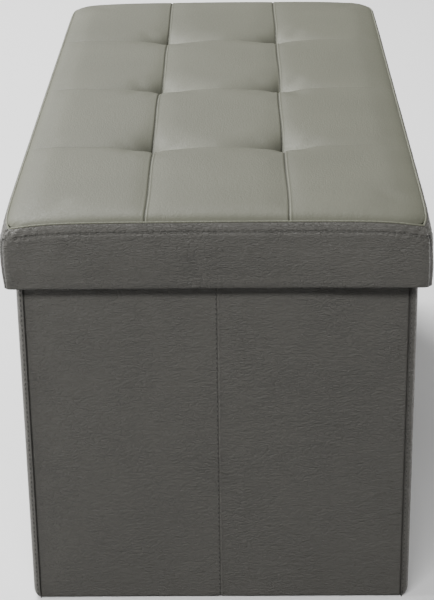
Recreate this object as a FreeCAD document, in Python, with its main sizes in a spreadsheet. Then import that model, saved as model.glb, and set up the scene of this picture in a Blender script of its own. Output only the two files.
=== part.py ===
import FreeCAD, Part

import os

import Sketcher

# Foldable storage bench: leatherette-covered boards joined by cloth hinges, with a
# padded, tufted lift-off lid. X is the width, Y the length, Z up; the origin is on the
# floor under the middle. The front short end faces -Y. Lengths are in mm.

doc = FreeCAD.newDocument("storage_bench")
sheet = doc.addObject("Spreadsheet::Sheet", "dims")

DIMENSIONS = [
    ("lidLength", 780.0),
    ("lidWidth", 380.0),
    ("lidBottom", 328.0),
    ("seamHeight", 390.6),
    ("crownHeight", 396.6),
    ("lidCorner", 6.8),
    ("lidBoardThick", 9.0),
    ("lidBoardBottom", 356.0),
    ("railThick", 6.0),
    ("skirtSkin", 1.2),
    ("skirtLip", 0.7),
    ("topSkin", 1.4),
    ("foamEdge", 6.0),
    ("weltThick", 2.2),
    ("weltStandOut", 0.5),
    ("tuftRadius", 17.0),
    ("tuftDepth", 6.5),
    ("cordRadius", 0.9),
    ("anchorRadius", 11.0),
    ("anchorThick", 1.4),
    ("stapleWire", 0.5),
    ("stapleWidth", 11.0),
    ("stapleSpacing", 70.0),
    ("stapleRise", 14.0),
    ("bodyLength", 762.0),
    ("bodyWidth", 361.0),
    ("bodyHeight", 355.0),
    ("boardThick", 5.2),
    ("leather", 0.9),
    ("lining", 0.5),
    ("panelThick", 6.6),
    ("endRecess", 1.0),
    ("cornerGap", 1.3),
    ("tapeThick", 0.8),
    ("creaseGap", 1.6),
    ("creaseTape", 0.5),
    ("outerRound", 4.2),
    ("creaseRound", 2.4),
    ("clearance", 0.4),
    ("clothLevel", 0.8),
    ("clothThick", 0.6),
    ("sleeveThick", 5.6),
    ("sleeveSkin", 0.6),
    ("leafGap", 8.0),
]

for row, (alias, value) in enumerate(DIMENSIONS, start=1):
    sheet.set(f"A{row}", alias)
    sheet.set(f"B{row}", str(value))
    sheet.setAlias(f"B{row}", alias)
doc.recompute()

made = []


def size(alias):
    """The number that a sheet cell holds."""
    return float(sheet.get(alias))


def bound(text):
    """A short formula written with bare aliases, as an expression on the sheet."""
    for alias, _ in sorted(DIMENSIONS, key=lambda pair: -len(pair[0])):
        text = text.replace("$" + alias, "dims." + alias)
    return text


def place(thing, x, y, z, turn=0):
    """Bind an object's position to three formulas, turned about Z in degrees."""
    thing.Placement = FreeCAD.Placement(
        FreeCAD.Vector(0, 0, 0), FreeCAD.Rotation(FreeCAD.Vector(0, 0, 1), turn)
    )
    for axis, formula in zip("xyz", (x, y, z)):
        thing.setExpression(f"Placement.Base.{axis}", bound(formula))


def keep(thing, label):
    """Name a finished sub-part and list it for export."""
    thing.Label = label
    made.append(thing)
    return thing


def plane_of(body, role):
    for feature in body.Origin.OriginFeatures:
        if feature.Role == role:
            return feature
    raise RuntimeError(f"{body.Name} has no {role}")


def rectangle(body, role, left, right, low, high, name):
    """A rectangle on one of the body's own planes, its four sides bound to formulas."""
    sketch = body.newObject("Sketcher::SketchObject", name)
    sketch.AttachmentSupport = [(plane_of(body, role), "")]
    sketch.MapMode = "FlatFace"
    corners = [(-9, -8), (9, -8), (9, 8), (-9, 8)]
    for i in range(4):
        start = FreeCAD.Vector(*corners[i], 0)
        end = FreeCAD.Vector(*corners[(i + 1) % 4], 0)
        sketch.addGeometry(Part.LineSegment(start, end), False)
    for i in range(4):
        sketch.addConstraint(Sketcher.Constraint("Coincident", i, 2, (i + 1) % 4, 1))
    for i in (0, 2):
        sketch.addConstraint(Sketcher.Constraint("Horizontal", i))
    for i in (1, 3):
        sketch.addConstraint(Sketcher.Constraint("Vertical", i))
    sides = (
        ("DistanceX", 0, 1, left),
        ("DistanceY", 0, 1, low),
        ("DistanceX", 1, 2, right),
        ("DistanceY", 1, 2, high),
    )
    for kind, line, point, formula in sides:
        start = -9.0 if formula is left else 9.0
        if kind == "DistanceY":
            start = -8.0 if formula is low else 8.0
        index = sketch.addConstraint(
            Sketcher.Constraint(kind, -1, 1, line, point, start)
        )
        sketch.setExpression(f"Constraints[{index}]", bound(formula))
    return sketch


def pad(body, sketch, height, name="pad"):
    feature = body.newObject("PartDesign::Pad", name)
    feature.Profile = sketch
    feature.setExpression("Length", bound(height))
    sketch.Visibility = False
    return feature


def round_edges(body, base, chosen, radius, name="rounding"):
    """Fillet the edges of a feature that a test picks out."""
    doc.recompute()
    edges = [
        f"Edge{i}" for i, edge in enumerate(base.Shape.Edges, start=1) if chosen(edge)
    ]
    feature = body.newObject("PartDesign::Fillet", name)
    feature.Base = (base, edges)
    feature.setExpression("Radius", bound(radius))
    return feature


def middle(edge):
    return edge.valueAt((edge.FirstParameter + edge.LastParameter) / 2)


def along(edge, axis):
    direction = edge.tangentAt(edge.FirstParameter)
    return abs(abs(direction[axis]) - 1) < 1e-6


def cut_away(name, base, tools):
    """Base less all the tools, as one boolean."""
    feature = doc.addObject("Part::Cut", name)
    feature.Base = base
    if len(tools) == 1:
        feature.Tool = tools[0]
        return feature
    joined = doc.addObject("Part::MultiFuse", name + "_tools")
    joined.Shapes = tools
    feature.Tool = joined
    return feature


# ---------------------------------------------------------------- the folding body

HALF_END = "($bodyWidth / 2 - $panelThick - $cornerGap - $creaseGap / 2)"
HALF_END_MIDDLE = "(($bodyWidth / 2 - $panelThick - $cornerGap + $creaseGap / 2) / 2)"
WALL_INSIDE = "($bodyWidth / 2 - $panelThick)"
END_INSIDE = "($bodyLength / 2 - $endRecess - $panelThick)"

# name, length, x, y of the middle of the inner face, turn about Z
PANELS = [
    ("left_wall", "$bodyLength", "-" + WALL_INSIDE, "0", 90),
    ("right_wall", "$bodyLength", WALL_INSIDE, "0", -90),
    ("front_left_end", HALF_END, "-" + HALF_END_MIDDLE, "-" + END_INSIDE, 180),
    ("front_right_end", HALF_END, HALF_END_MIDDLE, "-" + END_INSIDE, 180),
    ("rear_left_end", HALF_END, "-" + HALF_END_MIDDLE, END_INSIDE, 0),
    ("rear_right_end", HALF_END, HALF_END_MIDDLE, END_INSIDE, 0),
]


def panel_block(label, name, inset, length, depth, radius):
    """A panel-shaped block, inset on its four edges; its inner face looks along -Y."""
    body = doc.addObject("PartDesign::Body", label)
    half = f"({length} / 2 - {inset})"
    sketch = rectangle(
        body, "XY_Plane", "-" + half, half, "$lining", "$lining + " + depth, "footprint"
    )
    sides = pad(body, sketch, f"$bodyHeight - 2 * {inset}")
    doc.recompute()
    outer = sides.Shape.BoundBox.YMax
    wall = name.endswith("wall")

    def outside(edge):
        at = middle(edge)
        upright = along(edge, 2) and abs(at.y - outer) < 0.01
        foot = along(edge, 0) and at.z < 0.01 and abs(at.y - outer) < 0.01
        return upright or (wall and foot)

    round_edges(body, sides, outside, f"{radius} - {inset}")
    return body


def panel_board_and_cover(name, length, x, y, turn):
    """The stiff board of a panel, and the leatherette tray round its outer side."""
    radius = "$outerRound" if name.endswith("wall") else "$creaseRound"
    board = panel_block(
        name + "_board", name, "$leather", length, "$boardThick", radius
    )
    place(board, x, y, "$leather", turn)
    keep(board, name + "_board")
    blank = panel_block(
        name + "_blank", name, "0", length, "($panelThick - $lining)", radius
    )
    place(blank, x, y, "0", turn)
    keep(cut_away(name + "_tray", blank, [board]), name + "_cover")


def cloth(label, length, width, height, x, y, z, turn=0):
    """A flat strip or sheet of cloth as a thin box, its corner at the given place."""
    box = doc.addObject("Part::Box", label)
    box.setExpression("Length", bound(length))
    box.setExpression("Width", bound(width))
    box.setExpression("Height", bound(height))
    place(box, x, y, z, turn)
    return keep(box, label)


def panel_lining(name, length, x, y, turn):
    """The non-woven cloth glued to the board's inner face."""
    turns = {90: (0, -1), -90: (0, 1), 180: (1, 0), 0: (-1, 0)}
    across, down = turns[turn]
    cloth(
        name + "_lining",
        length,
        "$lining",
        "$bodyHeight",
        f"{x} + ({across}) * {length} / 2",
        f"{y} + ({down}) * {length} / 2",
        "0",
        turn,
    )


def corner_tapes():
    """Cloth hinges that join each long wall to the end panels, one per corner."""
    width = "$panelThick"
    tall = "$bodyHeight - 4"
    for side in ("left", "right"):
        x = "-" + WALL_INSIDE if side == "left" else f"{WALL_INSIDE} - $tapeThick"
        for end in ("front", "rear"):
            y = f"-{END_INSIDE} - $panelThick" if end == "front" else END_INSIDE
            cloth(f"{end}_{side}_corner_tape", "$tapeThick", width, tall, x, y, "2")


def crease_tapes():
    """Cloth hinges in the middle of each end, sewn to its left half."""
    for end in ("front", "rear"):
        y = f"-{END_INSIDE} - $panelThick + 0.6" if end == "front" else END_INSIDE
        cloth(
            f"{end}_crease_tape",
            "$creaseTape",
            "$panelThick - 0.6",
            "$bodyHeight - 4",
            "-$creaseGap / 2",
            y,
            "2",
        )


def bottom_cloth():
    """The non-woven sheet sewn between the lower edges of the walls."""
    cloth(
        "bottom_cloth",
        f"2 * {WALL_INSIDE} - $clearance",
        f"2 * ({END_INSIDE} - $clearance)",
        "$clothThick",
        "-" + WALL_INSIDE,
        f"-({END_INSIDE} - $clearance)",
        "$clothLevel",
    )


LEAF_HALF = f"({WALL_INSIDE} - 2 - $sleeveSkin)"
LEAF_LONG = f"({END_INSIDE} - 2 - $sleeveSkin)"
SLEEVE_LEVEL = "$clothLevel + $clothThick"


def base_leaves():
    """Two thin boards side by side that stiffen the floor of the bench."""
    leaves = []
    for side, left, right in (
        ("left", "-" + LEAF_HALF, "-$leafGap / 2"),
        ("right", "$leafGap / 2", LEAF_HALF),
    ):
        body = doc.addObject("PartDesign::Body", f"base_board_{side}")
        sketch = rectangle(
            body, "XY_Plane", left, right, "-" + LEAF_LONG, LEAF_LONG, "leaf"
        )
        pad(body, sketch, "$sleeveThick - 2 * $sleeveSkin")
        place(body, "0", "0", SLEEVE_LEVEL + " + $sleeveSkin")
        leaves.append(keep(body, f"base_board_{side}"))
    return leaves


def base_sleeve(leaves):
    """The cloth sleeve round both base boards, closed along the middle crease."""
    body = doc.addObject("PartDesign::Body", "sleeve_blank")
    half = f"({WALL_INSIDE} - 2)"
    long = f"({END_INSIDE} - 2)"
    sketch = rectangle(body, "XY_Plane", "-" + half, half, "-" + long, long, "outline")
    pad(body, sketch, "$sleeveThick")
    place(body, "0", "0", SLEEVE_LEVEL)
    keep(cut_away("sleeve_hollowed", body, leaves), "base_sleeve")


# ---------------------------------------------------------------------- the lid

LID_HALF = "($lidWidth / 2 - $skirtSkin)"
LID_LONG = "($lidLength / 2 - $skirtSkin)"
TUFT_PLACES = [(column, row) for column in (-1, 1) for row in (-1, 0, 1)]


def block(name, half, long, height, corner, level, top_round=None):
    """A rectangular block with rounded upright corners, centred on the bench."""
    body = doc.addObject("PartDesign::Body", name)
    sketch = rectangle(body, "XY_Plane", "-" + half, half, "-" + long, long, "outline")
    solid = pad(body, sketch, height)
    solid = round_edges(body, solid, lambda e: along(e, 2), corner, "corners")
    if top_round:
        doc.recompute()
        top = solid.Shape.BoundBox.ZMax
        solid = round_edges(
            body,
            solid,
            lambda e: abs(e.BoundBox.ZMin - top) < 1e-4,
            top_round,
            "shoulder",
        )
    place(body, "0", "0", level)
    return body


def round_bar(name, radius, height, x, y, z):
    bar = doc.addObject("Part::Cylinder", name)
    bar.setExpression("Radius", bound(radius))
    bar.setExpression("Height", bound(height))
    place(bar, x, y, z)
    return bar


def tuft_x(column):
    return f"({column}) * $lidWidth / 6"


def tuft_y(row):
    return f"({row}) * $lidLength / 4"


def tuft_cords():
    """Six cords that pull the top cover down, as one group."""
    cords = []
    for i, (column, row) in enumerate(TUFT_PLACES):
        cords.append(
            round_bar(
                f"cord_{i}",
                "$cordRadius",
                "$crownHeight - $tuftDepth - $topSkin - $lidBoardBottom - $anchorThick",
                tuft_x(column),
                tuft_y(row),
                "$lidBoardBottom + $anchorThick",
            )
        )
    group = doc.addObject("Part::MultiFuse", "cord_group")
    group.Shapes = cords
    return keep(group, "tuft_cords")


def tuft_anchors():
    """Six flat discs let into the underside of the lid board, as one group."""
    discs = []
    for i, (column, row) in enumerate(TUFT_PLACES):
        discs.append(
            round_bar(
                f"anchor_{i}",
                "$anchorRadius",
                "$anchorThick",
                tuft_x(column),
                tuft_y(row),
                "$lidBoardBottom",
            )
        )
    group = doc.addObject("Part::MultiFuse", "anchor_group")
    group.Shapes = discs
    return keep(group, "tuft_anchors")


def lid_board(cords, anchors):
    slab = block(
        "board_blank",
        LID_HALF,
        LID_LONG,
        "$lidBoardThick",
        "$lidCorner - $skirtSkin",
        "$lidBoardBottom",
    )
    keep(cut_away("board_drilled", slab, [cords, anchors]), "lid_board")


def lid_rails():
    """Four strips under the lid board that the skirt is pulled round."""
    tall = "$lidBoardBottom - $lidBottom - $skirtSkin"
    foot = "$lidBottom + $skirtSkin"
    for end, sign in (("front", "-"), ("rear", "")):
        body = doc.addObject("PartDesign::Body", f"lid_{end}_rail")
        near = f"{sign}({LID_LONG} - $railThick)"
        far = f"{sign}{LID_LONG}"
        low, high = (far, near) if sign else (near, far)
        sketch = rectangle(
            body, "XY_Plane", "-" + LID_HALF, LID_HALF, low, high, "footprint"
        )
        sides = pad(body, sketch, tall)
        edge_y = size("lidLength") / 2 - size("skirtSkin")
        round_edges(
            body,
            sides,
            lambda e: along(e, 2) and abs(abs(middle(e).y) - edge_y) < 0.01,
            "$railThick - 0.4",
        )
        place(body, "0", "0", foot)
        keep(body, f"lid_{end}_rail")
    for side, x in (("left", "-" + LID_HALF), ("right", f"{LID_HALF} - $railThick")):
        rail = doc.addObject("Part::Box", f"lid_{side}_rail")
        rail.setExpression("Length", bound("$railThick"))
        rail.setExpression("Width", bound(f"2 * ({LID_LONG} - $railThick)"))
        rail.setExpression("Height", bound(tall))
        place(rail, x, f"-({LID_LONG} - $railThick)", foot)
        keep(rail, f"lid_{side}_rail")


def lid_skirt_cover():
    """The band of leatherette round the lid's sides, turned in under the rails."""
    outer = block(
        "skirt_outer",
        "($lidWidth / 2)",
        "($lidLength / 2)",
        "$seamHeight - $weltThick / 2 - $lidBottom",
        "$lidCorner",
        "$lidBottom",
    )
    room = block(
        "skirt_room",
        LID_HALF,
        LID_LONG,
        "$seamHeight",
        "$railThick - 0.4",
        "$lidBottom + $skirtSkin",
    )
    inner = f"({LID_HALF} - $railThick - $skirtLip)"
    long = f"({LID_LONG} - $railThick - $skirtLip)"
    mouth = block("skirt_mouth", inner, long, "$seamHeight", "2", "$lidBottom - 1")
    band = cut_away("skirt_band", outer, [room])
    hem = cut_away("skirt_hem", band, [mouth])
    keep(hem, "lid_skirt_cover")


def lid_skirt_hem():
    """The turned-in edge of the skirt, on the inner faces of the rails."""
    outer_half = f"({LID_HALF} - $railThick)"
    outer_long = f"({LID_LONG} - $railThick)"
    tall = "$lidBoardBottom - $lining - $lidBottom - $skirtSkin"
    body = block(
        "hem_outer", outer_half, outer_long, tall, "1.2", "$lidBottom + $skirtSkin"
    )
    mouth = block(
        "hem_mouth",
        f"({outer_half} - $skirtLip)",
        f"({outer_long} - $skirtLip)",
        "$seamHeight",
        "0.6",
        "$lidBottom - 1",
    )
    keep(cut_away("hem_ring", body, [mouth]), "lid_skirt_hem")


def lid_padding(cords):
    """The foam pad and the tufted top cover that fits over its crown."""
    edge = "($lidWidth / 2 - $skirtSkin - $topSkin)"
    edge_long = "($lidLength / 2 - $skirtSkin - $topSkin)"
    seam = "($seamHeight - $weltThick / 2)"
    skin = block(
        "cover_blank",
        LID_HALF,
        LID_LONG,
        f"$crownHeight - {seam}",
        "$lidCorner - $skirtSkin",
        seam,
        "$foamEdge - 0.2",
    )
    crown = block(
        "crown_blank",
        edge,
        edge_long,
        f"$crownHeight - $topSkin - {seam} + 0.5",
        "$lidCorner - $skirtSkin - $topSkin",
        seam + " - 0.5",
        "$foamEdge - $topSkin",
    )
    side = block(
        "side_blank",
        LID_HALF,
        LID_LONG,
        f"{seam} - $lidBoardBottom - $lidBoardThick",
        "$lidCorner - $skirtSkin",
        "$lidBoardBottom + $lidBoardThick",
    )
    pits = []
    deep_pits = []
    for i, (column, row) in enumerate(TUFT_PLACES):
        for list_, name, drop, extra in (
            (pits, f"pit_{i}", "0", "0"),
            (deep_pits, f"deep_pit_{i}", "$topSkin", "$topSkin"),
        ):
            pit = doc.addObject("Part::Cone", name)
            pit.setExpression("Radius1", bound(f"2 + {extra}"))
            pit.setExpression("Radius2", bound(f"$tuftRadius + {extra}"))
            pit.setExpression("Height", bound("$tuftDepth"))
            place(
                pit,
                tuft_x(column),
                tuft_y(row),
                f"$crownHeight - $tuftDepth - {drop}",
            )
            list_.append(pit)
    shaped = doc.addObject("Part::MultiFuse", "foam_blank")
    shaped.Shapes = [crown, side]
    foam_pits = cut_away("foam_pits", shaped, deep_pits)
    foam = cut_away("foam_bored", foam_pits, [cords])
    keep(foam, "lid_foam")
    dimpled = cut_away("cover_dimpled", skin, pits)
    keep(cut_away("cover_shell", dimpled, [foam_pits]), "lid_top_cover")


def lid_welt():
    """The narrow welt in the seam between the top cover and the skirt."""
    out = "$weltStandOut"
    level = "$seamHeight - $weltThick / 2"
    outer = block(
        "welt_outer",
        f"($lidWidth / 2 + {out})",
        f"($lidLength / 2 + {out})",
        "$weltThick",
        f"$lidCorner + {out}",
        level,
    )
    inner = block(
        "welt_inner",
        LID_HALF,
        LID_LONG,
        "$weltThick + 2",
        "$lidCorner - $skirtSkin",
        level + " - 1",
    )
    keep(cut_away("welt_ring", outer, [inner]), "lid_welt")


def lid_lining():
    """The black cloth that closes the underside of the lid board."""
    cloth(
        "lid_lining",
        f"2 * ({LID_HALF} - $railThick)",
        f"2 * ({LID_LONG} - $railThick)",
        "$lining",
        f"-({LID_HALF} - $railThick)",
        f"-({LID_LONG} - $railThick)",
        "$lidBoardBottom - $lining",
    )


def lid_staples():
    """Staples that hold the skirt's hem to the long rails, as one group."""
    staples = []
    face = "($lidWidth / 2 - $skirtSkin - $railThick - $skirtLip)"
    spacing = size("stapleSpacing")
    count = int((size("lidLength") - 80) // spacing)
    for side, x in (("left", "-" + face), ("right", f"{face} - $stapleWire")):
        for i in range(count):
            staple = doc.addObject("Part::Box", f"staple_{side}_{i}")
            staple.setExpression("Length", bound("$stapleWire"))
            staple.setExpression("Width", bound("$stapleWidth"))
            staple.setExpression("Height", bound("$stapleWire"))
            step = f"({i} - {(count - 1) / 2}) * $stapleSpacing - $stapleWidth / 2"
            place(staple, x, step, "$lidBottom + $stapleRise")
            staples.append(staple)
    group = doc.addObject("Part::MultiFuse", "staple_group")
    group.Shapes = staples
    keep(group, "lid_staples")


for panel in PANELS:
    panel_board_and_cover(*panel)
    panel_lining(*panel)
corner_tapes()
crease_tapes()
bottom_cloth()
base_sleeve(base_leaves())
cords = tuft_cords()
anchors = tuft_anchors()
lid_board(cords, anchors)
lid_rails()
lid_skirt_cover()
lid_skirt_hem()
lid_padding(cords)
lid_welt()
lid_lining()
lid_staples()
doc.recompute()

for thing in doc.Objects:
    if "Invalid" in thing.State or "Error" in thing.State:
        raise RuntimeError(f"{thing.Name} ({thing.Label}) is {thing.State}")
os.makedirs("parts", exist_ok=True)
for thing in made:
    shape = thing.Shape
    if shape.isNull() or not shape.isValid() or not shape.Solids:
        raise RuntimeError(f"{thing.Label} has no valid solid")
    shape.exportStep(f"parts/{thing.Label}.step")
    box = shape.BoundBox
    print(
        f"{thing.Label:26s} solids {len(shape.Solids)} volume {shape.Volume:12.1f}"
        f" x {box.XMin:8.2f} {box.XMax:8.2f} y {box.YMin:8.2f} {box.YMax:8.2f}"
        f" z {box.ZMin:7.2f} {box.ZMax:7.2f}"
    )
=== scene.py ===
import math
import random

import bpy
import numpy as np
from mathutils import Matrix, Vector, noise


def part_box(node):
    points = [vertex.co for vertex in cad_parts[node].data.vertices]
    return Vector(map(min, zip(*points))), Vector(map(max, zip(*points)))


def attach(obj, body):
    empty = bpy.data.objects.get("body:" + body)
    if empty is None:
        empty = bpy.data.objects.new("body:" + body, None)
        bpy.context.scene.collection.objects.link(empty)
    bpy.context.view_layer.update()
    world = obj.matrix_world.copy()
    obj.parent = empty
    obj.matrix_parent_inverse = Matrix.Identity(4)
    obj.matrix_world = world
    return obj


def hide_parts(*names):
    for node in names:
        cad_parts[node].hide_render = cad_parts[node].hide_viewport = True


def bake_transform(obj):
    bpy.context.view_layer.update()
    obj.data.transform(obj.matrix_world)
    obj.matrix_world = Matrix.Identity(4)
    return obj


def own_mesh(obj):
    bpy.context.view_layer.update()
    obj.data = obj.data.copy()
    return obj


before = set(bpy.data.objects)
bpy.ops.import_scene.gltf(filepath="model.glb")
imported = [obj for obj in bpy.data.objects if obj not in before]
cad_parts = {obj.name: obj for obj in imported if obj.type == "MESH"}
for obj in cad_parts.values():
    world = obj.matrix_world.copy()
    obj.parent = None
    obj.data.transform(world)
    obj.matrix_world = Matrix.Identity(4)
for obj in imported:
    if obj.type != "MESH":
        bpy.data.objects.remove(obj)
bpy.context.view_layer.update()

MM = 0.001


def node_box(name):
    """A CAD node's lowest and highest corners, in millimetres."""
    low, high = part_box(name)
    return np.array(low) / MM, np.array(high) / MM


def smooth(a, b, x):
    """From 0 at a to 1 at b, eased at both ends."""
    t = np.clip((np.asarray(x, float) - a) / (b - a), 0, 1)
    return t * t * (3 - 2 * t)


def bell(x, width):
    """1 where x is 0, and less and less on both sides of it."""
    return np.exp(-((np.asarray(x, float) / width) ** 2))


def decay(x, width, power=1):
    """1 where x is 0, and less and less as x grows past width."""
    return np.exp(-((x / width) ** power))


def add_object(name, data):
    """A new object in the scene."""
    obj = bpy.data.objects.new(name, data)
    bpy.context.scene.collection.objects.link(obj)
    return obj


def make_object(name, points, faces, material, body, slot, node=None, seam=None):
    """A mesh object from points in millimetres, riding on a body. It may stand for a
    CAD node. seam holds each point's "seam" value of painted shade and painted
    highlight, which leatherette reads."""
    mesh = bpy.data.meshes.new(name)
    flat = np.asarray(points, float).reshape(-1, 3) * MM
    mesh.from_pydata([tuple(p) for p in flat], [], faces)
    mesh.validate()
    mesh.update()
    mesh.shade_smooth()
    mesh.materials.append(material)
    if seam is not None:
        layer = mesh.attributes.new("seam", "FLOAT", "POINT")
        layer.data.foreach_set("value", np.asarray(seam, np.float32).ravel())
    obj = add_object(name, mesh)
    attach(obj, body)
    if node:
        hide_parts(node)
    return obj


def grid_faces(rows, columns, wrap_rows=False, wrap_columns=False, start=0):
    """Quads over a grid of points that are stored row by row."""
    faces = []
    for i in range(rows if wrap_rows else rows - 1):
        for j in range(columns if wrap_columns else columns - 1):
            a, b = start + i * columns, start + (i + 1) % rows * columns
            n = (j + 1) % columns
            faces.append((a + j, a + n, b + n, b + j))
    return faces


def rim_loop(rows, columns):
    """The outer points of a grid, in order round it."""
    loop = list(range(columns))
    loop += [i * columns + columns - 1 for i in range(1, rows)]
    loop += [(rows - 1) * columns + j for j in range(columns - 2, -1, -1)]
    return loop + [i * columns for i in range(rows - 2, 0, -1)]


def join_rings(first, second):
    """Quads from one closed ring of points to the next."""
    pairs = [(k, (k + 1) % len(first)) for k in range(len(first))]
    return [(first[k], second[k], second[n], first[n]) for k, n in pairs]


def flipped(faces):
    """The same faces, looking the other way."""
    return [tuple(reversed(face)) for face in faces]


def tube_faces(rings, sides, start):
    """The faces of a closed tube: its rings of points, and its two ends."""
    faces = grid_faces(rings, sides, False, True, start)
    faces.append(tuple(start + k for k in reversed(range(sides))))
    faces.append(tuple(start + (rings - 1) * sides + k for k in range(sides)))
    return faces


def sheet_faces(rows, columns):
    """The faces of a thin closed sheet: an upper grid of points, then a lower one."""
    half, loop = rows * columns, rim_loop(rows, columns)
    faces = grid_faces(rows, columns) + flipped(grid_faces(rows, columns, start=half))
    return faces + join_rings(loop, [k + half for k in loop])


def closed_form(grid, rings):
    """Points and faces of a grid, rings that follow from its rim, and a flat last face."""
    rows, columns = grid.shape[:2]
    faces = grid_faces(rows, columns)
    previous, count = rim_loop(rows, columns), rows * columns
    for ring in rings:
        ids = list(range(count, count + len(ring)))
        faces += join_rings(previous, ids)
        previous, count = ids, count + len(ring)
    faces.append(tuple(previous))
    return np.concatenate([grid.reshape(-1, 3), *rings]), faces


def wave(x, y, z, scale, seed, octaves=3):
    """Smooth noise between about -1 and 1; scale is its wavelength in millimetres."""
    p = Vector((x / scale + seed * 7.31, y / scale - seed * 3.7, z / scale + seed))
    return noise.fractal(p, 1.0, 2.0, octaves) * 1.4


wave_field = np.vectorize(wave, otypes=[float])


def spaced(low, high, step, fine, places):
    """Numbers from low to high, step apart, closer together near some places."""
    values = [low]
    while values[-1] < high:
        x = values[-1]
        gap = min([abs(x - p) - reach for p, reach in places], default=1e9)
        values.append(x + (fine if gap <= 0 else min(step, fine + gap * 0.35)))
    values[-1] = high
    return np.array(values)


# ---- driving sizes
lid_low, lid_high = node_box("lid_skirt_cover")
LID_X, LID_Y = round(lid_high[0], 3), round(lid_high[1], 3)  # half the lid's sides
HEM_Z = round(lid_low[2], 3)  # the skirt's lower edge
SEAM_Z = round(lid_high[2], 3) + 0.7  # the seam between the top cover and the skirt
SKIRT_R = 6.8  # the lid's corners, in plan
PAD_X, PAD_Y, PAD_R = LID_X - 3.4, LID_Y - 4.4, 18.0  # half the pad, and its corners
PAD_RISE = 6.6  # the top above its seam
COVER_GAP = 2.2  # the cover's top above the foam
TUFT_X = LID_X / 3  # the seams and tucks stand this far each side of the middle
TUFT_Y = LID_Y / 2  # from one row of tucks to the next
TUCK_DEPTH = 7.6
STITCH = 4.9  # from one stitch to the next
ROW_DEPTH = 8.0  # the row of stitches below the lid's seam
STAPLE_STEP = 70.0
WALL_END = round(node_box("left_wall_cover")[1][1], 3)
CREASE_R, HEAD_R = 0.5, 3.0  # the panels' edges at a crease and along the top
TURNED_IN = 0.85  # the hem round the back of a panel's skin


# ---- materials
def put(node, **values):
    """Set a node's inputs; the underscores in their names stand for spaces."""
    for key, value in values.items():
        node.inputs[key.replace("_", " ")].default_value = value


def new_material(name):
    """A material of one shader: the material, its node tree and the shader."""
    material = bpy.data.materials.new(name)
    material.use_nodes = True
    tree = material.node_tree
    tree.nodes.clear()
    out = tree.nodes.new("ShaderNodeOutputMaterial")
    shader = tree.nodes.new("ShaderNodeBsdfPrincipled")
    tree.links.new(shader.outputs["BSDF"], out.inputs["Surface"])
    return material, tree, shader


def mapped(tree, stretch):
    """Object coordinates, stretched along each axis."""
    coordinate = tree.nodes.new("ShaderNodeTexCoord")
    mapping = tree.nodes.new("ShaderNodeMapping")
    put(mapping, Scale=stretch)
    tree.links.new(coordinate.outputs["Object"], mapping.inputs["Vector"])
    return mapping.outputs["Vector"]


def texture(tree, kind, scale, stretch=(1, 1, 1), **settings):
    """The value of a procedural texture on stretched object coordinates."""
    node = tree.nodes.new("ShaderNodeTex" + kind)
    tree.links.new(mapped(tree, stretch), node.inputs["Vector"])
    put(node, Scale=scale, **settings)
    return node.outputs["Fac" if kind == "Noise" else "Distance"]


def ramp(tree, source, dark, light, low=0.3, high=0.7):
    """The range low to high of a value, stretched to dark to light."""
    node = tree.nodes.new("ShaderNodeMapRange")
    put(node, From_Min=low, From_Max=high, To_Min=dark, To_Max=light)
    tree.links.new(source, node.inputs["Value"])
    return node.outputs["Result"]


def tint(tree, shader, colour, factor):
    """Give a shader a colour times a number that varies over the surface."""
    node = tree.nodes.new("ShaderNodeMix")
    node.data_type, node.blend_type = "RGBA", "MULTIPLY"
    put(node, Factor=1.0)
    node.inputs[6].default_value = (*colour, 1)
    joined = tree.nodes.new("ShaderNodeCombineColor")
    for channel in ("Red", "Green", "Blue"):
        tree.links.new(factor, joined.inputs[channel])
    tree.links.new(joined.outputs["Color"], node.inputs[7])
    tree.links.new(node.outputs[2], shader.inputs["Base Color"])


def times(tree, a, b):
    """The product of two node outputs."""
    node = tree.nodes.new("ShaderNodeMath")
    node.operation = "MULTIPLY"
    tree.links.new(a, node.inputs[0])
    tree.links.new(b, node.inputs[1])
    return node.outputs[0]


def bump(tree, height, distance, strength, normal=None):
    """The normal of a relief, on top of an earlier normal if there is one."""
    node = tree.nodes.new("ShaderNodeBump")
    put(node, Distance=distance, Strength=strength)
    tree.links.new(height, node.inputs["Height"])
    if normal is not None:
        tree.links.new(normal, node.inputs["Normal"])
    return node.outputs["Normal"]


def grain_cells(tree, stretch, scale, wander):
    """Height of leather grain: flat-topped cells with creased valleys between them."""
    place = mapped(tree, stretch)
    drift = tree.nodes.new("ShaderNodeTexNoise")
    put(drift, Scale=scale * 0.45, Detail=3)
    tree.links.new(place, drift.inputs["Vector"])
    shift = tree.nodes.new("ShaderNodeVectorMath")
    shift.operation = "MULTIPLY_ADD"
    shift.inputs[1].default_value = (wander / scale,) * 3
    tree.links.new(drift.outputs["Color"], shift.inputs[0])
    tree.links.new(place, shift.inputs[2])
    cells = tree.nodes.new("ShaderNodeTexVoronoi")
    cells.feature = "DISTANCE_TO_EDGE"
    put(cells, Scale=scale)
    tree.links.new(shift.outputs["Vector"], cells.inputs["Vector"])
    return ramp(tree, cells.outputs["Distance"], 0.0, 1.0, 0.0, 0.16)


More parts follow.
